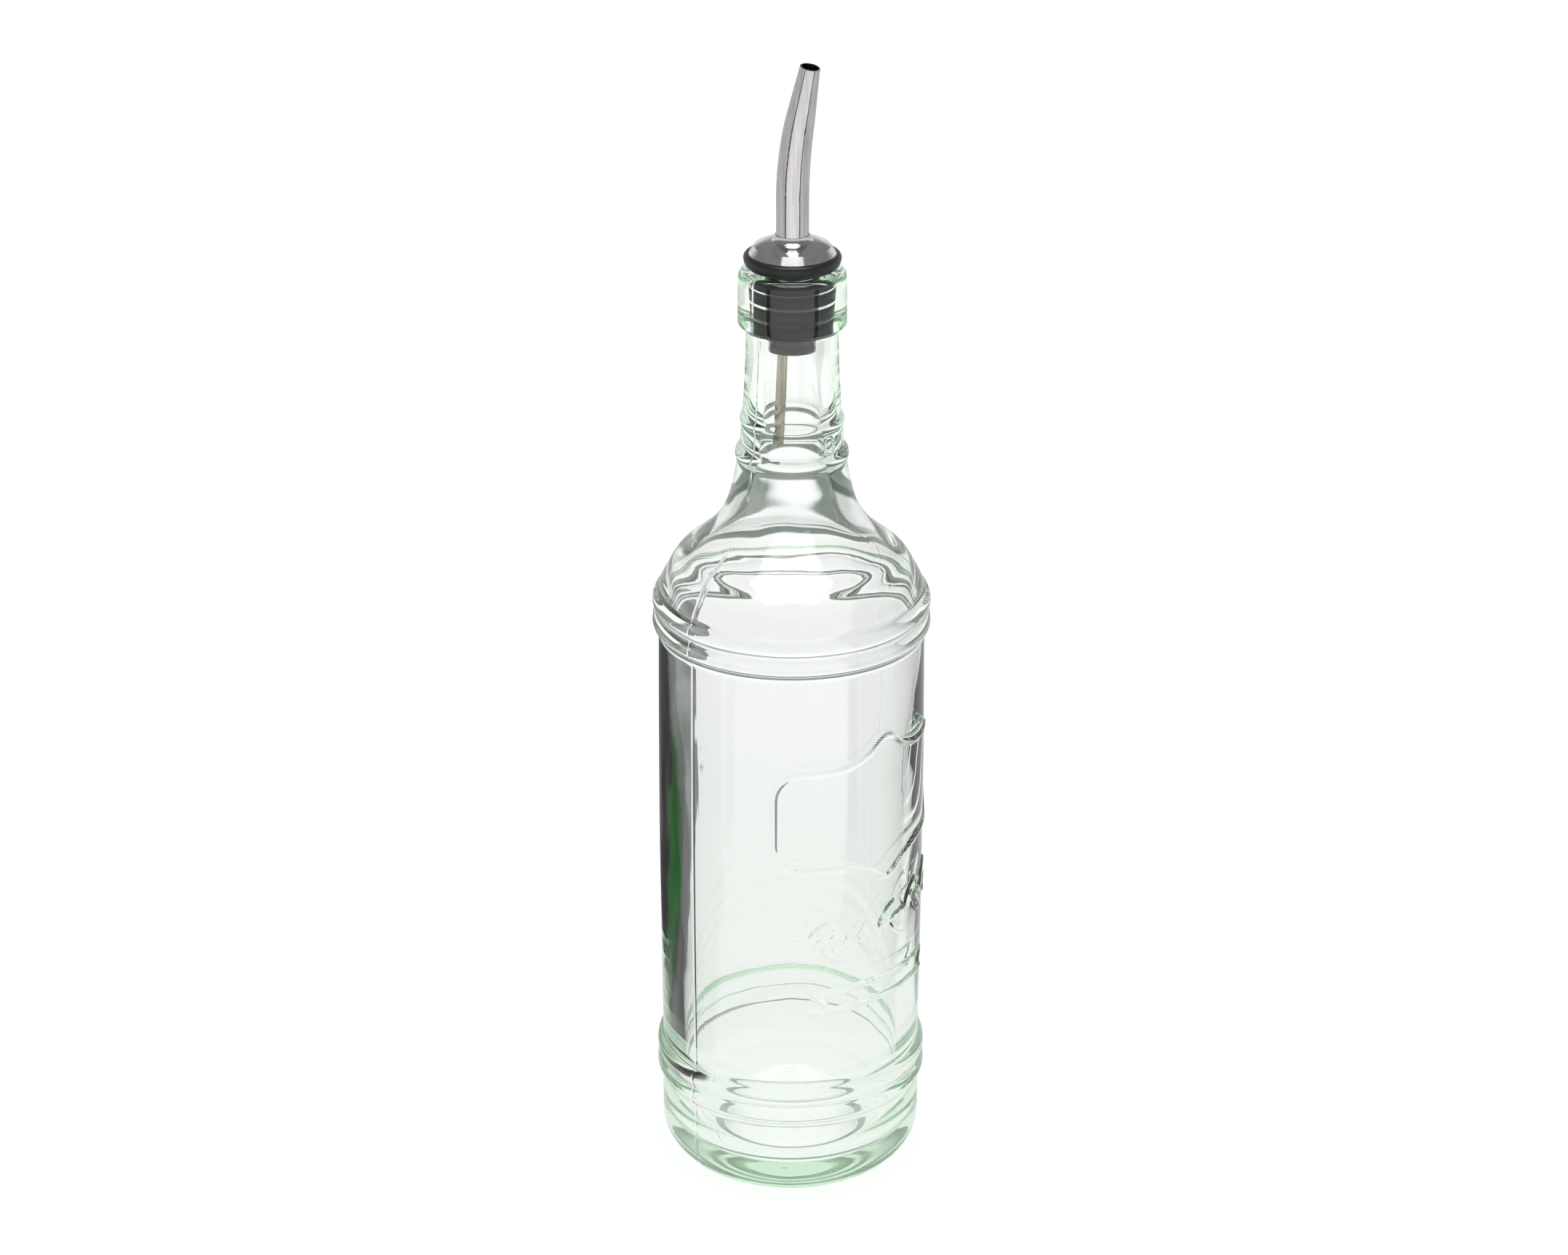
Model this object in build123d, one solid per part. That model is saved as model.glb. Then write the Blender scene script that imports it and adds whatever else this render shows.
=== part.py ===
from build123d import *
import os
from math import cos, radians, sin

# Driving dimensions, millimetres. Z is up and the origin is the centre of the base.

# Glass bottle, outside
BOTTLE_H = 309.0
BODY_R = 42.45
BARREL_R = 42.9
FOOT_R = 42.7
HEEL_R = 14.0
BEARING_IN_R = 24.6
PUSH_UP = 3.6
RING_R = 44.3
RING_VALLEY_R = 43.35
LOBE_H = 6.8
LOW_RING_Z = 37.0
HIGH_RING_Z = 196.3
NECK_FOOT_R = 17.35
NECK_FOOT_Z = 246.6
NECK_TOP_R = 14.35
LIP_R = 17.0
LIP_TOP_R = 16.8
LIP_Z = 291.1
LIP_EDGE = 0.8
LIP_ROUND = 2.4

# Glass bottle, inside
FLOOR_Z = 9.6
FLOOR_EDGE_R = 20.0
FLOOR_EDGE_Z = 8.4
INNER_HEEL_Z = 25.0
SEAT_LOW_R = 7.65
SEAT_LOW_Z = 282.0
SEAT_TOP_R = 8.75
SEAT_TOP_Z = 305.5
MOUTH_R = 10.2

# Raised decoration on the label side
LABEL_AZ = 45.0
LABEL_Z = 139.3
LABEL_HALF_W = 39.2
LABEL_HALF_H = 17.0
LABEL_CORNER = 9.0
LABEL_PEAK = 8.2
LABEL_TIP = 7.2
BEAD_W = 2.0
RELIEF = 0.6
PRISM_NEAR = 15.0
PRISM_LONG = 40.0
SPRIG_Z = 98.0
LEAF_L = 10.5
LEAF_W = 3.6
STEM_W = 1.5
OLIVE_R = 2.3
BANNER_Z = 74.0
BANNER_HALF_L = 20.0
BANNER_H = 8.0
BANNER_RISE = 1.6
BANNER_LINE = 1.3
TAIL_L = 7.0
MEDAL_Z = 255.0
MEDAL_R = 2.8
MEDAL_LINE = 0.9

# Pourer
STOPPER_LOW_Z = 283.4
STOPPER_LOW_R = 6.7
STOPPER_CORE_R = 7.0
RIB_COUNT = 4
RIB_PITCH = 5.0
RIB_LOW_Z = 287.0
RIB_H = 2.4
RIB_GAP = 0.06
RIM_R = 15.2
RIM_Z = 312.6
HEAD_LOW_Z = BOTTLE_H + 0.1
HEAD_TOP_Z = 313.9
TUBE_R = 5.1
TUBE_WALL = 0.45
TUBE_LOW_Z = 287.0
SWIVEL_GAP = 0.06
COLLAR_R = 13.55
COLLAR_LOW_Z = HEAD_TOP_Z + 0.05
COLLAR_SHOULDER_R = 11.9
COLLAR_SHOULDER_Z = 316.3
COLLAR_TOP_R = 6.4
COLLAR_TOP_Z = 318.0
COLLAR_BOSS_Z = 319.9
COLLAR_SHEET = 0.8
BEND_LOW_Z = 331.0
BEND_HIGH_Z = 356.0
BEND_DEG = 11.5
BEND_AZ = 59.0
TIP_LEN = 17.6
TIP_R = 3.15
AIR_R = 1.65
AIR_WALL = 0.35
AIR_X = 3.03
AIR_TOP_Z = 302.0
AIR_BEND_Z = 284.0
AIR_LOW_X = 4.2
AIR_LOW_Z = 252.0


def rz(radius, height):
    return Vector(radius, 0, height)


def turned(edges):
    """Solid of revolution about Z from a chain of edges that starts and ends on the axis.
    Its seam lies on the side away from the label."""
    close = Line(edges[-1] @ 1, edges[0] @ 0)
    return Rot(0, 0, LABEL_AZ + 90) * revolve(make_face(Wire([*edges, close])), Axis.Z)


def double_ring(middle, foot_r, head_r):
    """Two rounded lobes, one above the other."""
    low = ThreePointArc(
        rz(foot_r, middle - LOBE_H), rz(RING_R, middle - LOBE_H / 2), rz(RING_VALLEY_R, middle)
    )
    high = ThreePointArc(
        rz(RING_VALLEY_R, middle), rz(RING_R, middle + LOBE_H / 2), rz(head_r, middle + LOBE_H)
    )
    return [low, high]


def bead(start, crown, end):
    return ThreePointArc(rz(*start), rz(*crown), rz(*end))


def base_edges():
    """Push-up, bearing ring and rounded heel."""
    heel_in = FOOT_R - HEEL_R
    slant = HEEL_R * sin(radians(45))
    return [
        ThreePointArc(rz(0, PUSH_UP), rz(BEARING_IN_R / 2, 0.76 * PUSH_UP), rz(BEARING_IN_R, 0)),
        Line(rz(BEARING_IN_R, 0), rz(heel_in, 0)),
        ThreePointArc(rz(heel_in, 0), rz(heel_in + slant, HEEL_R - slant), rz(FOOT_R, HEEL_R)),
    ]


def body_edges():
    low = LOW_RING_Z + LOBE_H
    high = HIGH_RING_Z - LOBE_H
    return [
        Line(rz(FOOT_R, HEEL_R), rz(FOOT_R, LOW_RING_Z - LOBE_H)),
        *double_ring(LOW_RING_Z, FOOT_R, BODY_R),
        ThreePointArc(rz(BODY_R, low), rz(BARREL_R, (low + high) / 2), rz(BODY_R, high)),
        *double_ring(HIGH_RING_Z, BODY_R, BODY_R - 0.1),
    ]


def shoulder_edges():
    """Convex dome that turns into a concave flare below the neck."""
    start = rz(BODY_R - 0.1, HIGH_RING_Z + LOBE_H)
    return [
        Spline(
            start, rz(40.1, 208.3), rz(36.3, 214.5), rz(31.3, 218.7),
            rz(25.1, 224.5), rz(20.7, 231.6), rz(18.4, 240.0), rz(NECK_FOOT_R, NECK_FOOT_Z),
            tangents=[Vector(-0.22, 0, 1), Vector(-0.12, 0, 1)],
        )
    ]


def neck_edges():
    """Neck with its main bead and a smaller bead above it."""
    return [
        bead((NECK_FOOT_R, NECK_FOOT_Z), (17.9, 249.1), (16.45, 251.6)),
        Line(rz(16.45, 251.6), rz(15.95, 258.4)),
        bead((15.95, 258.4), (16.4, 260.2), (15.6, 262.2)),
        ThreePointArc(rz(15.6, 262.2), rz(14.8, 275.5), rz(NECK_TOP_R, LIP_Z)),
    ]


def lip_edges():
    round_in = LIP_TOP_R - LIP_ROUND
    slant = LIP_ROUND * sin(radians(45))
    crown = BOTTLE_H - LIP_ROUND
    return [
        Line(rz(NECK_TOP_R, LIP_Z), rz(LIP_R - LIP_EDGE, LIP_Z)),
        ThreePointArc(
            rz(LIP_R - LIP_EDGE, LIP_Z),
            rz(LIP_R - 0.29 * LIP_EDGE, LIP_Z + 0.29 * LIP_EDGE),
            rz(LIP_R, LIP_Z + LIP_EDGE),
        ),
        Line(rz(LIP_R, LIP_Z + LIP_EDGE), rz(LIP_TOP_R, crown)),
        ThreePointArc(rz(LIP_TOP_R, crown), rz(round_in + slant, crown + slant), rz(round_in, BOTTLE_H)),
        Line(rz(round_in, BOTTLE_H), rz(0, BOTTLE_H)),
    ]


def cavity():
    """Inside of the bottle: thick at the foot, thin at the shoulder, thick again in the neck."""
    mouth_mid = (MOUTH_R + SEAT_TOP_R) / 2 - 0.25
    return turned([
        ThreePointArc(rz(0, FLOOR_Z), rz(FLOOR_EDGE_R / 2, 9.3), rz(FLOOR_EDGE_R, FLOOR_EDGE_Z)),
        Spline(
            rz(FLOOR_EDGE_R, FLOOR_EDGE_Z), rz(31.6, 13.4), rz(35.4, INNER_HEEL_Z),
            tangents=[Vector(1, 0, 0), Vector(0.05, 0, 1)],
        ),
        Spline(
            rz(35.4, INNER_HEEL_Z), rz(35.8, 55), rz(36.9, 94), rz(38.6, 134), rz(40.0, 160), rz(40.5, 190),
            tangents=[Vector(0.05, 0, 1), Vector(0, 0, 1)],
        ),
        Spline(
            rz(40.5, 190), rz(40.0, 201), rz(36.2, 210), rz(29.5, 216.4), rz(22.6, 222.6),
            rz(16.6, 230), rz(12.6, 239), rz(10.3, 250),
            tangents=[Vector(0, 0, 1), Vector(-0.13, 0, 1)],
        ),
        Spline(
            rz(10.3, 250), rz(8.6, 266), rz(SEAT_LOW_R, SEAT_LOW_Z),
            tangents=[Vector(-0.13, 0, 1), Vector(0, 0, 1)],
        ),
        Line(rz(SEAT_LOW_R, SEAT_LOW_Z), rz(SEAT_TOP_R, SEAT_TOP_Z)),
        ThreePointArc(rz(SEAT_TOP_R, SEAT_TOP_Z), rz(mouth_mid, 308.0), rz(MOUTH_R, BOTTLE_H)),
        Line(rz(MOUTH_R, BOTTLE_H), rz(0, BOTTLE_H)),
    ])


def label_plane():
    """Upright plane through the axis, facing the label; its Y is the height above the base."""
    az = radians(LABEL_AZ)
    return Plane(origin=(0, 0, 0), x_dir=(cos(az), sin(az), 0), z_dir=(sin(az), -cos(az), 0))


def on_label(along, height):
    """Point on the label plane for a distance along the curved wall."""
    return Vector(BODY_R * sin(along / BODY_R), height)


def cartouche_face(grow):
    """Bracket-shaped outline: straight ends, round corners, a peak above and a tip below."""
    wide = LABEL_HALF_W + grow
    tall = LABEL_HALF_H + grow
    corner = LABEL_CORNER + grow
    inset = wide - corner
    slant = corner * sin(radians(45))

    def at(along, height):
        return on_label(along, LABEL_Z + height)

    def crest(sign, tip):
        side = [(-inset, tall), (-17, tall + 0.5), (-8, tall + 0.42 * tip)]
        heights = [*side, (0, tall + tip), *[(-s, h) for s, h in reversed(side)]]
        return Spline(*[at(s, sign * h) for s, h in heights], tangents=[(1, 0), (1, 0)])

    def corner_arc(x_sign, y_sign):
        return ThreePointArc(
            at(x_sign * inset, y_sign * tall),
            at(x_sign * (inset + slant), y_sign * (tall - corner + slant)),
            at(x_sign * wide, y_sign * (tall - corner)),
        )

    ends = [Line(at(x * wide, tall - corner), at(x * wide, corner - tall)) for x in (-1, 1)]
    corners = [corner_arc(x, y) for x in (-1, 1) for y in (-1, 1)]
    return make_face(Wire([crest(1, LABEL_PEAK), crest(-1, LABEL_TIP), *ends, *corners]))


def leaf(along, height, turn_deg):
    """Pointed leaf that starts at a point on the stem."""
    ux = cos(radians(turn_deg))
    uy = sin(radians(turn_deg))

    def at(forward, side):
        return on_label(along + forward * ux - side * uy, height + forward * uy + side * ux)

    upper = ThreePointArc(at(0, 0), at(LEAF_L / 2, LEAF_W / 2), at(LEAF_L, 0))
    lower = ThreePointArc(at(LEAF_L, 0), at(LEAF_L / 2, -LEAF_W / 2), at(0, 0))
    return make_face(Wire([upper, lower]))


def stem_height(along):
    return SPRIG_Z + 3.0 * sin(along / 13.0)


def sprig():
    """Olive sprig: one wavy stem, paired leaves and two olives."""
    stem = Spline(*[on_label(s, stem_height(s)) for s in (-33, -20, -7, 7, 20, 33)])
    shape = trace(stem, line_width=STEM_W)
    for along in (-29, -16, -3, 10, 23):
        shape += leaf(along, stem_height(along), 48)
        shape += leaf(along + 5, stem_height(along + 5), -40)
    shape += leaf(30, stem_height(30), 4)
    for along in (-22.5, 16.5):
        centre = on_label(along, stem_height(along) + 4.6)
        shape += Pos(centre.X, centre.Y) * Circle(OLIVE_R)
    return shape


def banner_face(grow):
    """Arched ribbon with swallow-tail ends."""
    half = BANNER_HALF_L + TAIL_L + grow
    top = BANNER_Z + BANNER_H / 2 + grow
    low = BANNER_Z - BANNER_H / 2 - grow
    notch = half - TAIL_L / 2 - 2 * grow
    return make_face(Wire([
        ThreePointArc(on_label(-half, top), on_label(0, top + BANNER_RISE), on_label(half, top)),
        Line(on_label(half, top), on_label(notch, BANNER_Z)),
        Line(on_label(notch, BANNER_Z), on_label(half, low)),
        ThreePointArc(on_label(half, low), on_label(0, low + BANNER_RISE), on_label(-half, low)),
        Line(on_label(-half, low), on_label(-notch, BANNER_Z)),
        Line(on_label(-notch, BANNER_Z), on_label(-half, top)),
    ]))


def prism(face):
    """Straight prism from a face on the label plane, starting inside the glass."""
    plane = label_plane().offset(PRISM_NEAR)
    return extrude(plane * Sketch(face.faces()), amount=PRISM_LONG)


def relief():
    """Cartouche bead, sprig and banner, all standing the same height off the wall."""
    low = LOW_RING_Z + LOBE_H
    high = HIGH_RING_Z - LOBE_H
    skin = turned([
        Line(rz(0, low), rz(BODY_R + RELIEF, low)),
        ThreePointArc(
            rz(BODY_R + RELIEF, low), rz(BARREL_R + RELIEF, (low + high) / 2), rz(BODY_R + RELIEF, high)
        ),
        Line(rz(BODY_R + RELIEF, high), rz(0, high)),
    ])
    cartouche = cartouche_face(BEAD_W / 2) - cartouche_face(-BEAD_W / 2)
    banner = banner_face(0) - banner_face(-BANNER_LINE)
    shapes = [prism(face) for face in (*cartouche.faces(), *banner.faces(), *sprig().faces())]
    return [shape & skin for shape in shapes]


def neck_medallion():
    """Small plain ring on the neck, above the label."""
    ring = Circle(MEDAL_R) - Circle(MEDAL_R - MEDAL_LINE)
    plane = label_plane().offset(MEDAL_R + NECK_TOP_R / 2)
    skin = Pos(0, 0, MEDAL_Z) * Cylinder(16.75, 4 * MEDAL_R)
    return extrude(plane * Pos(0, MEDAL_Z) * ring, amount=NECK_TOP_R) & skin


def glass_bottle():
    outside = turned([*base_edges(), *body_edges(), *shoulder_edges(), *neck_edges(), *lip_edges()])
    for shape in relief():
        outside += shape
    outside += neck_medallion()
    return outside - cavity()


def seat_radius(height):
    part = (height - SEAT_LOW_Z) / (SEAT_TOP_Z - SEAT_LOW_Z)
    return SEAT_LOW_R + part * (SEAT_TOP_R - SEAT_LOW_R)


def rib_edges(low_z):
    """One sealing rib: a sloping underside, a narrow crown and a flat top."""
    crown_low = low_z + RIB_H / 2
    top = low_z + RIB_H
    return [
        Line(rz(STOPPER_CORE_R, low_z), rz(seat_radius(crown_low) - RIB_GAP, crown_low)),
        Line(rz(seat_radius(crown_low) - RIB_GAP, crown_low), rz(seat_radius(top) - RIB_GAP, top)),
        Line(rz(seat_radius(top) - RIB_GAP, top), rz(STOPPER_CORE_R, top)),
    ]


def rubber_stopper():
    """Ribbed tapered plug with a thick rounded head that rests on the lip."""
    edges = [
        Line(rz(0, STOPPER_LOW_Z), rz(STOPPER_LOW_R, STOPPER_LOW_Z)),
        ThreePointArc(
            rz(STOPPER_LOW_R, STOPPER_LOW_Z), rz(7.3, STOPPER_LOW_Z + 0.4), rz(7.5, STOPPER_LOW_Z + 1.2)
        ),
        Line(rz(7.5, STOPPER_LOW_Z + 1.2), rz(STOPPER_CORE_R, STOPPER_LOW_Z + 2.0)),
        Line(rz(STOPPER_CORE_R, STOPPER_LOW_Z + 2.0), rz(STOPPER_CORE_R, RIB_LOW_Z)),
    ]
    for index in range(RIB_COUNT):
        low_z = RIB_LOW_Z + index * RIB_PITCH
        next_z = low_z + RIB_PITCH if index < RIB_COUNT - 1 else HEAD_LOW_Z
        edges += rib_edges(low_z)
        edges.append(Line(rz(STOPPER_CORE_R, low_z + RIB_H), rz(STOPPER_CORE_R, next_z)))
    edges += [
        Line(rz(STOPPER_CORE_R, HEAD_LOW_Z), rz(12.4, HEAD_LOW_Z)),
        ThreePointArc(rz(12.4, HEAD_LOW_Z), rz(14.4, 310.3), rz(RIM_R, RIM_Z)),
        ThreePointArc(rz(RIM_R, RIM_Z), rz(14.75, 313.55), rz(13.9, HEAD_TOP_Z)),
        Line(rz(13.9, HEAD_TOP_Z), rz(0, HEAD_TOP_Z)),
    ]
    bore = Pos(0, 0, STOPPER_LOW_Z) * Cylinder(
        TUBE_R + SWIVEL_GAP, HEAD_TOP_Z - STOPPER_LOW_Z, align=(Align.CENTER, Align.CENTER, Align.MIN)
    )
    return turned(edges) - bore


def collar_shell(inset):
    """Turned outline of the domed collar, drawn in by a distance to give its inside."""
    return turned([
        Line(rz(0, COLLAR_LOW_Z), rz(COLLAR_R - inset, COLLAR_LOW_Z)),
        Line(rz(COLLAR_R - inset, COLLAR_LOW_Z), rz(COLLAR_SHOULDER_R - inset, COLLAR_SHOULDER_Z - inset)),
        ThreePointArc(
            rz(COLLAR_SHOULDER_R - inset, COLLAR_SHOULDER_Z - inset),
            rz(9.3, 317.45 - inset),
            rz(COLLAR_TOP_R, COLLAR_TOP_Z - inset),
        ),
        Line(rz(COLLAR_TOP_R, COLLAR_TOP_Z - inset), rz(0, COLLAR_TOP_Z - inset)),
    ])


def spout_collar():
    """Domed sheet collar with a small flared boss round the spout."""
    boss = turned([
        Line(rz(0, COLLAR_TOP_Z - COLLAR_SHEET), rz(COLLAR_TOP_R, COLLAR_TOP_Z - COLLAR_SHEET)),
        Line(rz(COLLAR_TOP_R, COLLAR_TOP_Z - COLLAR_SHEET), rz(COLLAR_TOP_R, COLLAR_TOP_Z)),
        ThreePointArc(
            rz(COLLAR_TOP_R, COLLAR_TOP_Z), rz(5.75, COLLAR_TOP_Z + 0.8), rz(TUBE_R + 0.3, COLLAR_BOSS_Z)
        ),
        Line(rz(TUBE_R + 0.3, COLLAR_BOSS_Z), rz(0, COLLAR_BOSS_Z)),
    ])
    hole = Pos(0, 0, COLLAR_LOW_Z) * Cylinder(
        TUBE_R, 2 * (COLLAR_BOSS_Z - COLLAR_LOW_Z), align=(Align.CENTER, Align.CENTER, Align.MIN)
    )
    return collar_shell(0) - collar_shell(COLLAR_SHEET) + boss - hole


def spout_path():
    """Centre line: straight up, a slow bend, then straight to the tip."""
    az = radians(BEND_AZ)
    bend = radians(BEND_DEG)
    radius = (BEND_HIGH_Z - BEND_LOW_Z) / sin(bend)

    def out(distance, height):
        return Vector(distance * sin(az), -distance * cos(az), height)

    def on_bend(angle):
        return out(radius * (1 - cos(angle)), BEND_LOW_Z + radius * sin(angle))

    bend_end = on_bend(bend)
    tip = bend_end + out(TIP_LEN * sin(bend), TIP_LEN * cos(bend))
    return [
        Line(Vector(0, 0, TUBE_LOW_Z), Vector(0, 0, BEND_LOW_Z)),
        ThreePointArc(Vector(0, 0, BEND_LOW_Z), on_bend(bend / 2), bend_end),
        Line(bend_end, tip),
    ]


def spout_skin(shrink):
    """Round section carried along the centre line: parallel to the bend, then tapering to the tip."""
    straight, arc, last = spout_path()
    mid_r = (TUBE_R + TIP_R) / 2 + 0.45
    lower = sweep(Plane(origin=straight @ 0, z_dir=straight % 0) * Circle(TUBE_R - shrink), path=straight)
    sections = [
        Plane(origin=arc @ 0, z_dir=arc % 0) * Circle(TUBE_R - shrink),
        Plane(origin=arc @ 0.5, z_dir=arc % 0.5) * Circle(TUBE_R - 0.1 - shrink),
        Plane(origin=arc @ 1, z_dir=arc % 1) * Circle(mid_r - shrink),
    ]
    upper = sweep(Sketch() + sections, path=arc, multisection=True)
    tip = loft([
        Plane(origin=last @ 0, z_dir=last % 0) * Circle(mid_r - shrink),
        Plane(origin=last @ 1, z_dir=last % 1) * Circle(TIP_R - shrink),
    ])
    return lower + upper + tip


def spout_tube():
    return spout_skin(0) - spout_skin(TUBE_WALL)


def air_tube():
    """Thin breather tube: upright inside the spout, then leaning out a little below the stopper."""
    bend = Vector(-AIR_X, 0, AIR_BEND_Z)
    path = Wire([
        Line(Vector(-AIR_X, 0, AIR_TOP_Z), bend + Vector(0, 0, 3)),
        Spline(bend + Vector(0, 0, 3), Vector(-AIR_LOW_X, 0, AIR_LOW_Z), tangents=[(0, 0, -1), (-0.05, 0, -1)]),
    ])
    start = Plane(origin=path @ 0, z_dir=path % 0)
    return sweep(start * (Circle(AIR_R) - Circle(AIR_R - AIR_WALL)), path=path)


os.makedirs("parts", exist_ok=True)
export_step(glass_bottle(), "parts/glass_bottle.step")
export_step(rubber_stopper(), "parts/rubber_stopper.step")
export_step(spout_collar(), "parts/spout_collar.step")
export_step(spout_tube(), "parts/spout_tube.step")
export_step(air_tube(), "parts/air_tube.step")
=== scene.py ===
# Glass oil bottle with a push-in pourer, built round its fixed CAD frame.
import bpy
import numpy as np
from math import atan2, cos, hypot, pi, radians, sin
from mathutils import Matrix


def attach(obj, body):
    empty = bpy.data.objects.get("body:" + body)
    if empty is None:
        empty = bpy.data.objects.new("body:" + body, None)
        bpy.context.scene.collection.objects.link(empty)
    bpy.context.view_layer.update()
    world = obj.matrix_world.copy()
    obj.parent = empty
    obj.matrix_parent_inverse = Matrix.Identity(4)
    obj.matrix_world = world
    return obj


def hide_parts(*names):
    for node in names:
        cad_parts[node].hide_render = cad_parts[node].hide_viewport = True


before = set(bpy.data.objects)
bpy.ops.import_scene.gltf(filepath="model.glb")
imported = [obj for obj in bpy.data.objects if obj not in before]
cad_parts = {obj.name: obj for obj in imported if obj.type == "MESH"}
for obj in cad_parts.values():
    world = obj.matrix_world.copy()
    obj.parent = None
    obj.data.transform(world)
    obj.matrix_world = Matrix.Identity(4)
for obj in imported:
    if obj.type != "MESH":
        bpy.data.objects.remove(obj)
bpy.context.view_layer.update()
MM = 0.001

# Camera: a long lens that looks down on the bottle from the front, and the colour settings.
bpy.ops.object.select_all(action="DESELECT")
bpy.ops.object.camera_add(location=(-0.0024, -1.160, 0.6965), rotation=(radians(66.34), 0, 0))
camera = bpy.context.object
camera.name = "camera"
camera.rotation_euler.rotate_axis("Z", radians(0.10))
camera.data.sensor_width = 36
camera.data.lens = 90.95
camera.data.clip_start = 0.01
camera.data.clip_end = 50
bpy.context.scene.camera = camera
bpy.context.scene.view_settings.view_transform = "Standard"


# The glass bottle: one thick pale green pressing, blown in a two-part mould.
# Its section is drawn as a chain of points and spun round the upright axis: push-up,
# heel, two double rings, barrel, shoulder, beaded neck, lip, and back down the inside.
TURN_STEPS = 180
RING_R = 44.3
BARREL_FOOT, BARREL_MIDDLE, BARREL_HEAD = (42.45, 43.8), (42.9, 116.65), (42.45, 189.5)
SHOULDER_FOOT = (42.35, 203.1)
LIP_TOP = 309.0


def arc(start, middle, end, steps):
    """Points on the circle through three points, after the start and up to the end."""
    (ax, az), (bx, bz), (cx, cz) = start, middle, end
    d = 2 * (ax * (bz - cz) + bx * (cz - az) + cx * (az - bz))
    a2, b2, c2 = ax * ax + az * az, bx * bx + bz * bz, cx * cx + cz * cz
    ox = (a2 * (bz - cz) + b2 * (cz - az) + c2 * (az - bz)) / d
    oz = (a2 * (cx - bx) + b2 * (ax - cx) + c2 * (bx - ax)) / d
    first = atan2(az - oz, ax - ox)
    turn = (atan2(cz - oz, cx - ox) - first) % (2 * pi)
    if (atan2(bz - oz, bx - ox) - first) % (2 * pi) > turn:
        turn -= 2 * pi
    radius = hypot(ax - ox, az - oz)
    return [
        (ox + radius * cos(first + turn * i / steps), oz + radius * sin(first + turn * i / steps))
        for i in range(1, steps + 1)
    ]


def line(start, end, steps=1):
    return [
        (start[0] + (end[0] - start[0]) * i / steps, start[1] + (end[1] - start[1]) * i / steps)
        for i in range(1, steps + 1)
    ]


def flow(points, first, last, steps):
    """Smooth line through the points, leaving and arriving along the two directions."""
    ways = [first] + [(b[0] - a[0], b[1] - a[1]) for a, b in zip(points, points[2:])] + [last]
    slopes = [(x / hypot(x, z), z / hypot(x, z)) for x, z in ways]
    result = []
    for (a, b), (ta, tb) in zip(zip(points, points[1:]), zip(slopes, slopes[1:])):
        reach = hypot(b[0] - a[0], b[1] - a[1])
        for i in range(1, steps + 1):
            t = i / steps
            # how much each end and each slope counts this far along
            h = (2 * t**3 - 3 * t**2 + 1, (t**3 - 2 * t**2 + t) * reach,
                 3 * t**2 - 2 * t**3, (t**3 - t**2) * reach)
            result.append(tuple(h[0] * a[k] + h[1] * ta[k] + h[2] * b[k] + h[3] * tb[k] for k in (0, 1)))
    return result


def double_ring(foot, middle, head, steps):
    """Two rounded lobes, one above the other, the lower one well undercut."""
    valley, belly = (43.35, middle), (RING_R, middle - 3.5)
    under = (foot[0] + 0.72 * (RING_R - foot[0]), foot[1] + 0.95)
    lower = arc(foot, under, belly, steps) + arc(belly, (RING_R - 0.32, middle - 1.4), valley, steps // 2)
    return lower + arc(valley, (RING_R, middle + 3.4), head, steps)


def outer_wall():
    """Outside of the bottle from the middle of the push-up to the round of the lip."""
    wall = [(0, 3.6)]
    wall += arc((0, 3.6), (12.3, 2.74), (24.6, 0), 14)
    wall += line((24.6, 0), (28.7, 0), 3)
    wall += arc((28.7, 0), (38.6, 4.1), (42.7, 14.0), 14)
    wall += line((42.7, 14.0), (42.7, 30.2), 9)
    wall += double_ring((42.7, 30.2), 37.0, BARREL_FOOT, 8)
    wall += arc(BARREL_FOOT, BARREL_MIDDLE, BARREL_HEAD, 60)
    wall += double_ring(BARREL_HEAD, 196.3, SHOULDER_FOOT, 8)
    wall += flow(
        [SHOULDER_FOOT, (40.1, 208.3), (36.3, 214.5), (31.3, 218.7), (25.1, 224.5), (20.7, 231.6),
         (18.4, 240.0), (17.35, 246.6)], (-0.22, 1), (-0.12, 1), 5)
    wall += arc((17.35, 246.6), (17.9, 249.1), (16.45, 251.6), 6)
    wall += line((16.45, 251.6), (15.95, 258.4), 4)
    wall += arc((15.95, 258.4), (16.4, 260.2), (15.6, 262.2), 6)
    wall += arc((15.6, 262.2), (14.8, 275.5), (14.35, 291.1), 12)
    wall += line((14.35, 291.1), (16.2, 291.1), 2)
    wall += arc((16.2, 291.1), (16.77, 291.33), (17.0, 291.9), 3)
    wall += line((17.0, 291.9), (16.8, 306.6), 8)
    wall += arc((16.8, 306.6), (16.1, 308.3), (14.4, LIP_TOP), 6)
    return wall


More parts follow.
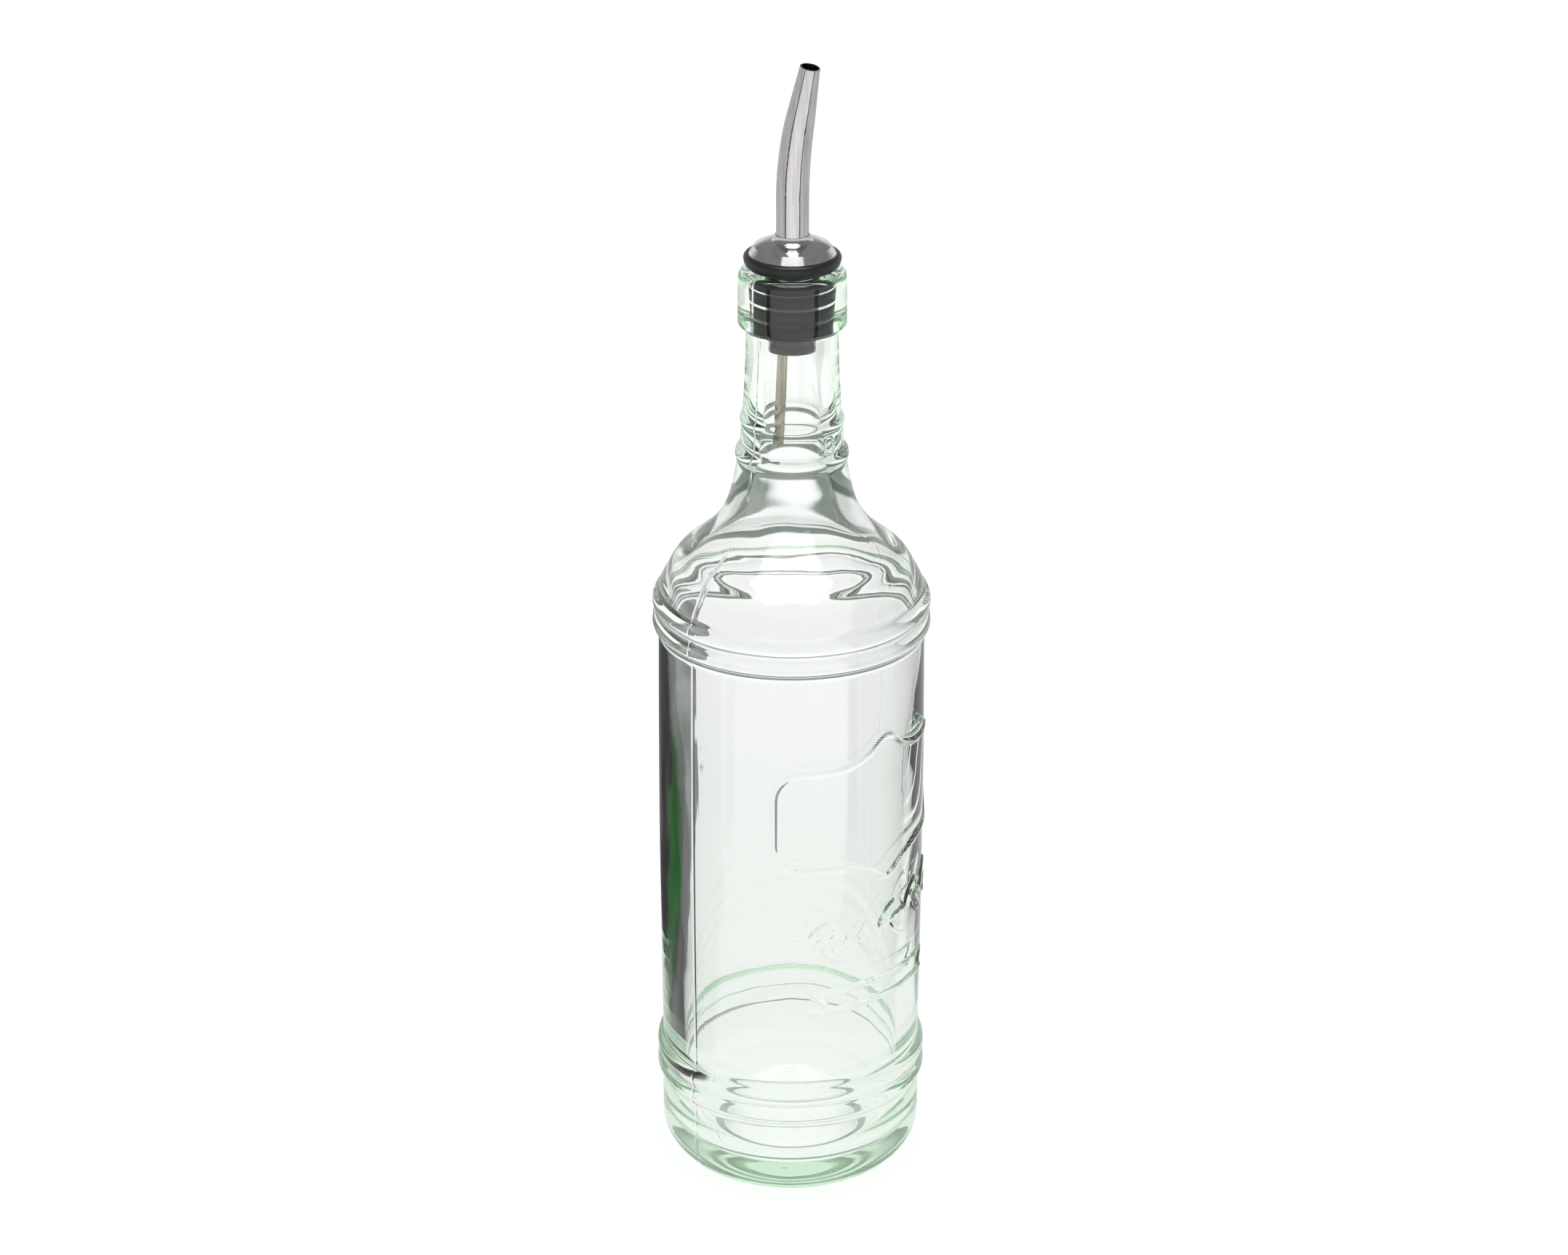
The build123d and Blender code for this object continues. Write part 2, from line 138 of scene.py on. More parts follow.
def cavity_wall():
    """Inside of the bottle from the lip down the bore to the middle of the floor."""
    wall = line((14.4, LIP_TOP), (10.2, LIP_TOP), 2)
    wall += arc((10.2, LIP_TOP), (9.225, 308.0), (8.75, 305.5), 3)
    wall += line((8.75, 305.5), (7.65, 282.0), 4)
    wall += flow([(7.65, 282.0), (8.6, 266.0), (10.3, 250.0)], (0, -1), (0.13, -1), 4)
    wall += flow(
        [(10.3, 250.0), (12.6, 239.0), (16.6, 230.0), (22.6, 222.6), (29.5, 216.4), (36.2, 210.0),
         (40.0, 201.0), (40.5, 190.0)], (0.13, -1), (0, -1), 4)
    wall += flow(
        [(40.5, 190.0), (40.0, 160.0), (38.6, 134.0), (36.9, 94.0), (35.8, 55.0), (35.4, 25.0)],
        (0, -1), (-0.05, -1), 5)
    wall += flow([(35.4, 25.0), (31.6, 13.4), (20.0, 8.4)], (-0.05, -1), (-1, 0), 5)
    wall += arc((20.0, 8.4), (10.0, 9.3), (0, 9.6), 5)
    return wall


def draw_chain(points):
    """Draws a line upright, vertex by vertex, and leaves it selected in edit mode."""
    bpy.ops.object.select_all(action="DESELECT")
    bpy.ops.mesh.primitive_plane_add(size=MM, location=(points[0][0] * MM, 0, points[0][1] * MM))
    chain = bpy.context.object
    bpy.ops.object.transform_apply(location=True, rotation=True, scale=True)
    bpy.ops.object.mode_set(mode="EDIT")
    bpy.ops.mesh.select_mode(type="VERT")
    bpy.ops.mesh.select_all(action="SELECT")
    bpy.ops.mesh.merge(type="CENTER")
    for (x0, z0), (x1, z1) in zip(points, points[1:]):
        bpy.ops.mesh.extrude_region_move(
            TRANSFORM_OT_translate={"value": ((x1 - x0) * MM, 0, (z1 - z0) * MM), "orient_type": "GLOBAL"})
    bpy.ops.mesh.select_all(action="SELECT")
    return chain


def spin_section(name, section, steps, angle=2 * pi, start=0):
    """Draws a section point by point and spins it round Z into a skin."""
    piece = draw_chain(section)
    piece.name = name
    bpy.ops.mesh.spin(
        steps=steps, angle=angle, center=(0, 0, 0), axis=(0, 0, 1), use_auto_merge=False)
    bpy.ops.mesh.select_all(action="SELECT")
    bpy.ops.mesh.remove_doubles(threshold=0.002 * MM)
    bpy.ops.mesh.normals_make_consistent(inside=False)
    bpy.ops.object.mode_set(mode="OBJECT")
    piece.rotation_euler.z = start
    bpy.ops.object.transform_apply(location=True, rotation=True, scale=True)
    bpy.ops.object.shade_smooth()
    return piece


bottle = spin_section("bottle_glass", outer_wall() + cavity_wall(), TURN_STEPS)


# The raised work on the label side, pressed with the bottle: a bracket-shaped frame round a
# blank field, an olive sprig, a plain ribbon, and a small ring on the neck.
# Each is drawn flat, wrapped on the wall, and the wall swells out along its lines.
LABEL_AZ = radians(45)
LABEL_R = 42.85
LABEL_LOW, RIBBON_TOP, SPRIG_TOP, LABEL_HIGH = 66, 85, 113, 167.5
FRAME_Z = 139.3
SPRIG_Z = 98.0
NECK_RING_Z, NECK_RING_R, NECK_WALL_R = 255.0, 2.3, 16.2
RELIEF = 0.6
# nothing but the outside of the wall lies farther out than this
BARREL_OUTSIDE, NECK_OUTSIDE = 42.0, 15.5


def crest(sign, tip):
    """One long side of the frame: level ends and a point in the middle."""
    half = [(-30.2, 17.0), (-17, 17.5), (-8, 17 + 0.42 * tip), (0, 17 + tip)]
    heights = half + [(-s, h) for s, h in reversed(half[:-1])]
    curve = [heights[0]] + flow(heights, (1, 0), (1, 0), 8)
    return [(s, sign * h) for s, h in curve]


def frame_line():
    """The frame's centre line, once round."""
    top = crest(1, 8.2)
    low = crest(-1, 7.2)[::-1]
    loop = top + arc(top[-1], (36.56, 14.36), (39.2, 8.0), 8) + line((39.2, 8.0), (39.2, -8.0), 8)
    loop += arc((39.2, -8.0), (36.56, -14.36), low[0], 8) + low[1:]
    loop += arc(low[-1], (-36.56, -14.36), (-39.2, -8.0), 8) + line((-39.2, -8.0), (-39.2, 8.0), 8)
    loop += arc((-39.2, 8.0), (-36.56, 14.36), top[0], 8)[:-1]
    return [(s, h + FRAME_Z) for s, h in loop]


def stem_height(along):
    return SPRIG_Z + 3.0 * sin(along / 13.0)


def leaf_line(along, height, turn):
    """Outline of one pointed leaf that starts on the stem."""
    def at(forward, side):
        return (along + forward * cos(turn) - side * sin(turn),
                height + forward * sin(turn) + side * cos(turn))

    upper = arc((0, 0), (5.25, 1.5), (10.5, 0), 6)
    lower = arc((10.5, 0), (5.25, -1.5), (0, 0), 6)
    return [at(f, w) for f, w in upper + lower]


def round_line(middle, height, radius, count):
    turns = [2 * pi * i / count for i in range(count)]
    return [(middle + radius * cos(turn), height + radius * sin(turn)) for turn in turns]


def ribbon_line():
    """Arched ribbon with swallow-tail ends."""
    top = [(-26.35, 77.35)] + arc((-26.35, 77.35), (0, 78.95), (26.35, 77.35), 16)
    low = [(26.35, 70.65)] + arc((26.35, 70.65), (0, 72.25), (-26.35, 70.65), 16)
    right_notch, left_notch = (22.8, 74.0), (-22.8, 74.0)
    right_end = line(top[-1], right_notch, 3) + line(right_notch, low[0], 3)[:-1]
    left_end = line(low[-1], left_notch, 3) + line(left_notch, top[0], 3)[:-1]
    return top + right_end + low + left_end


def draw_loop(points, filled):
    """Draws a closed line in the upright plane, filled with a face if asked."""
    loop = draw_chain(points)
    bpy.ops.mesh.edge_face_add()
    if not filled:
        bpy.ops.mesh.delete(type="ONLY_FACE")
    bpy.ops.object.mode_set(mode="OBJECT")
    return loop


def wrap(pattern, wall_r):
    """Lays a flat pattern round the wall: its X runs along the wall from the label's middle."""
    for vertex in pattern.data.vertices:
        turn = LABEL_AZ + vertex.co.x / (wall_r * MM)
        vertex.co.x, vertex.co.y = wall_r * MM * sin(turn), -wall_r * MM * cos(turn)


def join_loops(name, loops):
    bpy.ops.object.select_all(action="DESELECT")
    for loop in loops:
        loop.select_set(True)
    bpy.context.view_layer.objects.active = loops[0]
    bpy.ops.object.join()
    joined = bpy.context.object
    joined.name = name
    return joined


def edit_only(piece):
    bpy.ops.object.select_all(action="DESELECT")
    piece.select_set(True)
    bpy.context.view_layer.objects.active = piece
    bpy.ops.object.mode_set(mode="EDIT")
    bpy.ops.mesh.select_all(action="DESELECT")


def select_where(piece, kind, chosen):
    """Selects the vertices or faces whose place, in millimetres, is chosen."""
    edit_only(piece)
    bpy.ops.mesh.select_mode(type=kind)
    bpy.ops.object.mode_set(mode="OBJECT")
    parts = piece.data.polygons if kind == "FACE" else piece.data.vertices
    places = np.zeros(3 * len(parts))
    parts.foreach_get("center" if kind == "FACE" else "co", places)
    x, y, z = places.reshape(-1, 3).T / MM
    parts.foreach_set("select", chosen(x, y, z))
    bpy.ops.object.mode_set(mode="EDIT")


def around_label(x, y):
    """Angle round the bottle from the middle of the label."""
    return (np.arctan2(x, -y) - LABEL_AZ + pi) % (2 * pi) - pi


def under_label(low, high, reach=0.97):
    """Picks the outside of the wall between two heights on the label side."""
    return lambda x, y, z: (
        (z > low) & (z <= high) & (abs(around_label(x, y)) < reach)
        & (np.hypot(x, y) > np.where(z < SHOULDER_FOOT[1], BARREL_OUTSIDE, NECK_OUTSIDE)))


def name_group(piece, name):
    """Keeps the selected vertices as a named group."""
    bpy.ops.object.vertex_group_add()
    piece.vertex_groups.active.name = name
    bpy.context.scene.tool_settings.vertex_group_weight = 1
    bpy.ops.object.vertex_group_assign()
    bpy.ops.object.mode_set(mode="OBJECT")


def apply_modifier(piece, modifier):
    bpy.ops.object.select_all(action="DESELECT")
    piece.select_set(True)
    bpy.context.view_layer.objects.active = piece
    bpy.ops.object.modifier_apply(modifier=modifier.name)


def swell(piece, group, pattern, far, near, height):
    """Raises the wall along a pattern, to full height within near of it and not at all past far."""
    weigh = piece.modifiers.new("weigh", "VERTEX_WEIGHT_PROXIMITY")
    weigh.vertex_group = group
    weigh.target = pattern
    weigh.proximity_mode = "GEOMETRY"
    weigh.proximity_geometry = {"EDGE", "FACE"} if pattern.data.polygons else {"EDGE"}
    weigh.min_dist = far * MM
    weigh.max_dist = near * MM
    weigh.falloff_type = "SMOOTH"
    apply_modifier(piece, weigh)
    lift(piece, group, height)
    bpy.data.objects.remove(pattern)


def lift(piece, group, height):
    raise_ = piece.modifiers.new("lift", "DISPLACE")
    raise_.vertex_group = group
    raise_.mid_level = 0
    raise_.strength = height * MM
    apply_modifier(piece, raise_)


# the wall under the label gets a finer net, drawn back on to the true barrel
select_where(bottle, "FACE", under_label(LABEL_LOW, LABEL_HIGH))
bpy.ops.mesh.subdivide(number_cuts=3)
name_group(bottle, "barrel")
form = spin_section(
    "barrel_form", [BARREL_FOOT] + arc(BARREL_FOOT, BARREL_MIDDLE, BARREL_HEAD, 40),
    360, radians(120), radians(15))
settle = bottle.modifiers.new("settle", "SHRINKWRAP")
settle.target = form
settle.vertex_group = "barrel"
settle.wrap_method = "NEAREST_SURFACEPOINT"
apply_modifier(bottle, settle)
bpy.data.objects.remove(form)

label_frame = draw_loop(frame_line(), False)
wrap(label_frame, LABEL_R)
ribbon = draw_loop(ribbon_line(), False)
wrap(ribbon, LABEL_R)
upper_leaves = [(s, 48) for s in (-29, -16, -3, 10, 23)]
lower_leaves = [(s + 5, -40) for s, turn in upper_leaves]
leaves = [draw_loop(leaf_line(s, stem_height(s), radians(turn)), True)
          for s, turn in upper_leaves + lower_leaves + [(30, 4)]]
olives = [draw_loop(round_line(s, stem_height(s) + 4.6, 2.1, 12), True) for s in (-22.5, 16.5)]
stem_top = [(s, stem_height(s) + 0.35) for s in range(-33, 34, 3)]
stem = draw_loop(stem_top + [(s, z - 0.7) for s, z in reversed(stem_top)], True)
sprig = join_loops("sprig", [stem] + leaves + olives)
wrap(sprig, LABEL_R)

select_where(bottle, "VERT", under_label(SPRIG_TOP, LABEL_HIGH))
name_group(bottle, "frame_bead")
swell(bottle, "frame_bead", label_frame, 1.15, 0.35, RELIEF)
select_where(bottle, "VERT", under_label(RIBBON_TOP, SPRIG_TOP))
name_group(bottle, "sprig_bead")
swell(bottle, "sprig_bead", sprig, 0.62, 0.05, RELIEF)
select_where(bottle, "VERT", under_label(LABEL_LOW, RIBBON_TOP))
name_group(bottle, "ribbon_bead")
swell(bottle, "ribbon_bead", ribbon, 0.9, 0.2, RELIEF)

# the neck ring
select_where(bottle, "FACE", under_label(NECK_RING_Z - 3.6, NECK_RING_Z + 3.6, 0.25))
bpy.ops.mesh.subdivide(number_cuts=2)
name_group(bottle, "neck_bead")
neck_ring = draw_loop(round_line(0, NECK_RING_Z, NECK_RING_R, 32), False)
wrap(neck_ring, NECK_WALL_R)
swell(bottle, "neck_bead", neck_ring, 0.7, 0.1, 0.5)


# The mould seam: a thin fin where the two halves of the mould met, up both sides of the bottle.
# The wall is cut three times close together there, and the middle cut is lifted.
SEAM_AZ = radians(-46.4)
SEAM_HALF = 0.5
SEAM_FIN = 0.16


def past_seam(x, y):
    """Distance in front of the mould's parting plane."""
    return x * cos(SEAM_AZ) + y * sin(SEAM_AZ)


def mid_glass(z):
    """Radius half way through the glass, between the outside and the inside."""
    return np.interp(z, (0, 8, 25, 203, 215, 246, 285, 309), (20, 30, 39, 41.3, 32.5, 14.0, 11.5, 12.0))


edit_only(bottle)
for offset in (-SEAM_HALF, 0, SEAM_HALF):
    bpy.ops.mesh.select_all(action="SELECT")
    bpy.ops.mesh.bisect(
        plane_co=(offset * MM * cos(SEAM_AZ), offset * MM * sin(SEAM_AZ), 0),
        plane_no=(cos(SEAM_AZ), sin(SEAM_AZ), 0), threshold=0.02 * MM)
bpy.ops.object.mode_set(mode="OBJECT")
select_where(bottle, "VERT", lambda x, y, z: (
    abs(past_seam(x, y)) < 0.02) & (z > 0.5) & (np.hypot(x, y) > mid_glass(z)))
name_group(bottle, "seam_fin")
lift(bottle, "seam_fin", SEAM_FIN)

# The inside was blown, not pressed, so it waves a little.
select_where(bottle, "VERT", lambda x, y, z: (z > 12) & (z < 280) & (np.hypot(x, y) < mid_glass(z)))
name_group(bottle, "blown_wall")
ripple = bpy.data.textures.new("blown_ripple", "CLOUDS")
ripple.noise_scale = 0.022
ripple.noise_depth = 1
wave = bottle.modifiers.new("wave", "DISPLACE")
wave.texture = ripple
wave.texture_coords = "LOCAL"
wave.vertex_group = "blown_wall"
wave.mid_level = 0.5
wave.strength = 0.5 * MM
apply_modifier(bottle, wave)
bpy.ops.object.shade_smooth()
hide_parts("glass_bottle")
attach(bottle, "bottle")


def new_material(name):
    material = bpy.data.materials.new(name)
    material.use_nodes = True
    material.node_tree.nodes.clear()
    return material, material.node_tree.nodes, material.node_tree.links


def wear(piece, material):
    piece.data.materials.clear()
    piece.data.materials.append(material)


def noise(nodes, links, vector, scale, detail=2):
    cloud = nodes.new("ShaderNodeTexNoise")
    cloud.inputs["Scale"].default_value = scale
    cloud.inputs["Detail"].default_value = detail
    links.new(vector, cloud.inputs["Vector"])
    return cloud.outputs["Fac"]


def spread_over(nodes, links, value, low, high, socket):
    """Drives a socket from low to high as the value goes from 0 to 1."""
    reach = nodes.new("ShaderNodeMapRange")
    reach.inputs["To Min"].default_value = low
    reach.inputs["To Max"].default_value = high
    links.new(value, reach.inputs["Value"])
    links.new(reach.outputs["Result"], socket)


def bumps(nodes, links, value, strength, distance, shader):
    bump = nodes.new("ShaderNodeBump")
    bump.inputs["Strength"].default_value = strength
    bump.inputs["Distance"].default_value = distance
    links.new(value, bump.inputs["Height"])
    links.new(bump.outputs["Normal"], shader.inputs["Normal"])


def tint(nodes, links, value, dark, light, shader, margin=0.0):
    """Runs a shader's colour from dark to light as the value rises."""
    ramp = nodes.new("ShaderNodeValToRGB")
    ramp.color_ramp.elements[0].position = margin
    ramp.color_ramp.elements[1].position = 1 - margin
    ramp.color_ramp.elements[0].color = dark
    ramp.color_ramp.elements[1].color = light
    links.new(value, ramp.inputs["Fac"])
    links.new(ramp.outputs["Color"], shader.inputs["Base Color"])


def green_glass():
    """Clear soda glass with a faint green body colour that gathers where the glass is long."""
    material, nodes, links = new_material("pale_green_glass")
    out = nodes.new("ShaderNodeOutputMaterial")
    glass = nodes.new("ShaderNodeBsdfPrincipled")
    glass.inputs["Base Color"].default_value = (1, 1, 1, 1)
    glass.inputs["Transmission Weight"].default_value = 1
    glass.inputs["IOR"].default_value = 1.52
    place = nodes.new("ShaderNodeTexCoord")
    bumps(nodes, links, noise(nodes, links, place.outputs["Object"], 60), 0.12, 0.0004, glass)
    # the bearing ring under the heel is a little rough
    height = nodes.new("ShaderNodeSeparateXYZ")
    links.new(place.outputs["Object"], height.inputs[0])
    low = nodes.new("ShaderNodeMapRange")
    low.inputs["From Min"].default_value = 0.0026
    low.inputs["From Max"].default_value = 0.0014
    low.inputs["To Max"].default_value = 0.35
    links.new(height.outputs["Z"], low.inputs["Value"])
    links.new(low.outputs["Result"], glass.inputs["Roughness"])
    body = nodes.new("ShaderNodeVolumeAbsorption")
    body.inputs["Color"].default_value = (0.42, 0.93, 0.48, 1)
    body.inputs["Density"].default_value = 6.5
    lamp_path = nodes.new("ShaderNodeLightPath")
    clear = nodes.new("ShaderNodeBsdfTransparent")
    clear.inputs["Color"].default_value = (0.915, 0.90, 0.912, 1)
    mix = nodes.new("ShaderNodeMixShader")
    links.new(lamp_path.outputs["Is Shadow Ray"], mix.inputs["Fac"])
    links.new(glass.outputs["BSDF"], mix.inputs[1])
    links.new(clear.outputs["BSDF"], mix.inputs[2])
    links.new(mix.outputs["Shader"], out.inputs["Surface"])
    links.new(body.outputs["Volume"], out.inputs["Volume"])
    return material


wear(bottle, green_glass())


# The rubber stopper: a black ribbed plug moulded in one piece and pushed hard into the bore,
# so that its broad ribs are pressed flat against the glass, with a round head over the lip.
SQUEEZE = 0.03
RIB_EDGE = 0.3
RIB_DEPTH = 0.25
PLUG_BORE = 5.16
PLUG_FOOT, HEAD_TOP = 283.4, 313.9


def seat_radius(z):
    """Radius of the tapered bore at a height."""
    return 7.65 + (z - 282.0) / 23.5 * 1.1


def stopper_section():
    """Outside of the plug from its foot to its head, and back down its own bore."""
    side = [(PLUG_BORE, PLUG_FOOT), (6.7, PLUG_FOOT)]
    side += arc((6.7, PLUG_FOOT), (7.3, 283.8), (7.5, 284.6), 4)
    side += [(7.35, 285.6), (7.1, 286.2), (7.1, 288.6)]
    for low, top in ((289.2, 293.4), (294.0, 298.2), (298.8, 303.0), (303.2, 306.4)):
        side += [(seat_radius(low) - RIB_DEPTH, low)]
        side += [(seat_radius(low + RIB_EDGE) + SQUEEZE, low + RIB_EDGE)]
        side += line(side[-1], (seat_radius(top) + SQUEEZE, top), 2)
        side += [(seat_radius(top + RIB_EDGE) - RIB_DEPTH, top + RIB_EDGE)]
    side += [(8.4, 307.2), (8.6, 309.1)] + line((8.6, 309.1), (12.4, 309.1), 4)
    side += arc((12.4, 309.1), (14.4, 310.3), (15.2, 312.6), 10)
    side += arc((15.2, 312.6), (14.75, 313.55), (13.9, HEAD_TOP), 8)
    side += line((13.9, HEAD_TOP), (PLUG_BORE, HEAD_TOP), 6)
    return side + line(side[-1], side[0], 8)


stopper = spin_section("plug_rubber", stopper_section(), 128)
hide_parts("rubber_stopper")
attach(stopper, "stopper")


def black_rubber():
    """Moulded black rubber: nearly smooth, duller in cloudy patches, with a fine grain."""
    material, nodes, links = new_material("black_rubber")
    out = nodes.new("ShaderNodeOutputMaterial")
    rubber = nodes.new("ShaderNodeBsdfPrincipled")
    rubber.inputs["Specular IOR Level"].default_value = 0.4
    place = nodes.new("ShaderNodeTexCoord")
    cloud = noise(nodes, links, place.outputs["Object"], 180)
    tint(nodes, links, cloud, (0.007, 0.007, 0.008, 1), (0.018, 0.018, 0.018, 1), rubber)
    spread_over(nodes, links, cloud, 0.28, 0.46, rubber.inputs["Roughness"])
    bumps(nodes, links, noise(nodes, links, place.outputs["Object"], 2500), 0.15, 0.0001, rubber)
    links.new(rubber.outputs["BSDF"], out.inputs["Surface"])
    return material


wear(stopper, black_rubber())


# The spout: a drawn steel tube, its pressed collar and the plain air tube.
# Drawn metal carries fine streaks along its length, so the streak pattern is stretched upright.
def steel_finish(name, dark, light, smooth, dull, stretch):
    """Steel whose streaks run between two colours and between two degrees of polish."""
    material, nodes, links = new_material(name)
    out = nodes.new("ShaderNodeOutputMaterial")
    steel = nodes.new("ShaderNodeBsdfPrincipled")
    steel.inputs["Metallic"].default_value = 1
    place = nodes.new("ShaderNodeTexCoord")
    spread = nodes.new("ShaderNodeMapping")
    spread.inputs["Scale"].default_value = stretch
    links.new(place.outputs["Object"], spread.inputs["Vector"])
    streaks = noise(nodes, links, spread.outputs["Vector"], 1, 4)
    tint(nodes, links, streaks, dark, light, steel, 0.35)
    spread_over(nodes, links, streaks, smooth, dull, steel.inputs["Roughness"])
    bumps(nodes, links, streaks, 0.1, 0.00005, steel)
    links.new(steel.outputs["BSDF"], out.inputs["Surface"])
    return material


wear(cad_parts["spout_tube"], steel_finish(
    "bright_steel", (0.50, 0.48, 0.48, 1), (0.66, 0.65, 0.64, 1), 0.07, 0.16, (900, 900, 35)))
wear(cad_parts["spout_collar"], steel_finish(
    "collar_steel", (0.54, 0.53, 0.53, 1), (0.66, 0.65, 0.65, 1), 0.06, 0.13, (300, 300, 300)))
wear(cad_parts["air_tube"], steel_finish(
    "plain_steel", (0.28, 0.26, 0.20, 1), (0.44, 0.42, 0.35, 1), 0.12, 0.25, (900, 900, 40)))


# The white table top, the pale studio round it and the lamp. Grey and black patches are painted
# on the table at the bottle's back left where only the glass sees them, painted reflections that
# give it its dark edges, and two black stripes painted on the table in front, seen only by the
# steel, are painted reflections that give it its dark stripes.
bpy.ops.object.select_all(action="DESELECT")
bpy.ops.mesh.primitive_circle_add(vertices=96, radius=8, fill_type="NGON", location=(0, 0, 0))
floor = bpy.context.object
floor.name = "floor"

NEUTRAL = (1, 1, 1, 1)
# colours and strengths of the patches painted on the table as reflections and shade that only the glass
# and the steel see
FAR_GREEN, FAR_LEVEL = (0.62, 1, 0.70, 1), 0.10
PAINTED_GREY, GREY_LOW, GREY_RANGE = (0.95, 0.96, 1.0, 1), 0.075, 0.17
WARM_BLACK, BLACK_LEVEL = (1, 0.95, 0.85, 1), 0.02
DEEP_GREEN, GREEN_LEVEL = (0.12, 1, 0.16, 1), 0.12
RIGHT_GREEN, RIGHT_LEVEL = (0.85, 1, 0.88, 1), 0.12
PAINTED_FOOT_LIGHT, PAINTED_FOOT_LEVEL = (1, 0.99, 1, 1), 1.1
PAINTED_DARK_LEVEL, BEYOND_LEVEL = 0.015, 0.3
# the place of the painted black for light bounced inside the glass, as an angle to the left of straight
# back from this point
BLACK_X = -0.031
BLACK_FROM, BLACK_TO = -30.0, 120.0


def stage_maths(nodes, links):
    """Short ways to add maths and ramps to a material of the stage."""
    def calc(operation, first, second=None, third=None):
        node = nodes.new("ShaderNodeMath")
        node.operation = operation
        for socket, value in zip(node.inputs, (first, second, third)):
            if value is None:
                continue
            if isinstance(value, (int, float)):
                socket.default_value = value
            else:
                links.new(value, socket)
        return node.outputs[0]

    def product(first, *others):
        for other in others:
            first = calc("MULTIPLY", first, other)
        return first

    def rest(value):
        return calc("SUBTRACT", 1, value)

    def step(value, low, high):
        node = nodes.new("ShaderNodeMapRange")
        node.interpolation_type = "SMOOTHSTEP"
        links.new(value, node.inputs["Value"])
        node.inputs["From Min"].default_value = low
        node.inputs["From Max"].default_value = high
        return node.outputs["Result"]

    def between(value, low, high, soft):
        return product(step(value, low - soft, low + soft), rest(step(value, high - soft, high + soft)))

    return calc, product, rest, step, between


